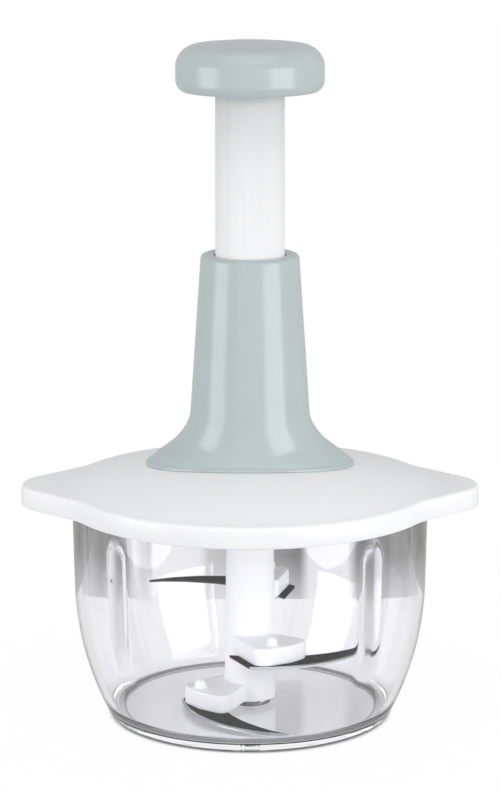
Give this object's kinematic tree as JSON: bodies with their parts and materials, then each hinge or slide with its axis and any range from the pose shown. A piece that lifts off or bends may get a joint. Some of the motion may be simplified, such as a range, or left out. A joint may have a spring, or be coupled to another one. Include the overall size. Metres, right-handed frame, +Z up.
{
  "type": "push-down food chopper",
  "caption": "Clear deep bowl under a domed two-eared lid with a trumpet neck; pressing the mushroom knob spins a stack of curved blades in the bowl.",
  "frame": {"origin": "centre of the bowl's foot ring, on the surface it stands on", "axes": "+Z up along the plunger, +X through one ear of the lid, -Y towards the viewer of the picture"},
  "size_m": [0.18, 0.1456, 0.266],
  "materials": {
    "clear_bowl": "clear, glossy, faintly grey",
    "white_plastic": "fine satin moulding",
    "grey_plastic": "cool light grey, soft gloss",
    "acetal": "waxy natural white",
    "silicone": "soft, translucent pale grey",
    "blade_steel": "ground along the edge, polished flats",
    "rod_metal": "drawn and twisted bright bar",
    "steel": "bright plated",
    "spring_steel": "oiled spring wire and strip"
  },
  "bodies": {
    "bowl": {"bowl": "clear_bowl", "bowl_pivot_pin": "steel"},
    "lid": {"lid_shell": "white_plastic", "lid_seal": "silicone", "lid_inner_cover": "white_plastic", "cover_screws": "steel", "neck_housing": "grey_plastic", "neck_collar": "acetal", "housing_screws": "steel", "rod_bush": "acetal", "coupler_bush": "acetal", "thrust_washer": "acetal", "spring_seat": "steel", "return_spring": "spring_steel"},
    "plunger": {"plunger_tube": "white_plastic", "push_knob": "grey_plastic", "knob_underplate": "grey_plastic", "knob_screws": "steel", "drive_nut": "acetal"},
    "spindle": {"twisted_rod": "rod_metal", "rod_clip": "spring_steel", "ratchet_driver": "acetal", "clutch_disc_spring": "spring_steel", "drive_coupler": "acetal", "coupler_clip": "spring_steel"},
    "blades": {"blade_carrier": "white_plastic", "carrier_foot_bush": "acetal", "blade_low": "blade_steel", "blade_mid": "blade_steel", "blade_high": "blade_steel", "blade_rivets": "steel"}
  },
  "joints": [
    {"name": "lid_lift", "type": "slide", "parent": "bowl", "child": "lid", "axis": [0, 0, 1], "range_m": [0, 0.1]},
    {"name": "press", "type": "slide", "parent": "lid", "child": "plunger", "axis": [0, 0, -1], "range_m": [0, 0.06], "stiffness_N_per_m": 300, "springref_m": -0.02, "deforming": ["return_spring"]},
    {"name": "spindle_turn", "type": "hinge", "parent": "lid", "child": "spindle", "pos_m": [0, 0, 0.1], "axis": [0, 0, -1], "range_deg": [0, 720]},
    {"name": "blades_turn", "type": "hinge", "parent": "bowl", "child": "blades", "pos_m": [0, 0, 0.01], "axis": [0, 0, -1], "range_deg": [0, 720]}
  ],
  "couplings": [
    {"joint": "spindle_turn", "follows": "press", "rad_per_m": 209.44},
    {"joint": "blades_turn", "follows": "press", "rad_per_m": 209.44}
  ]
}
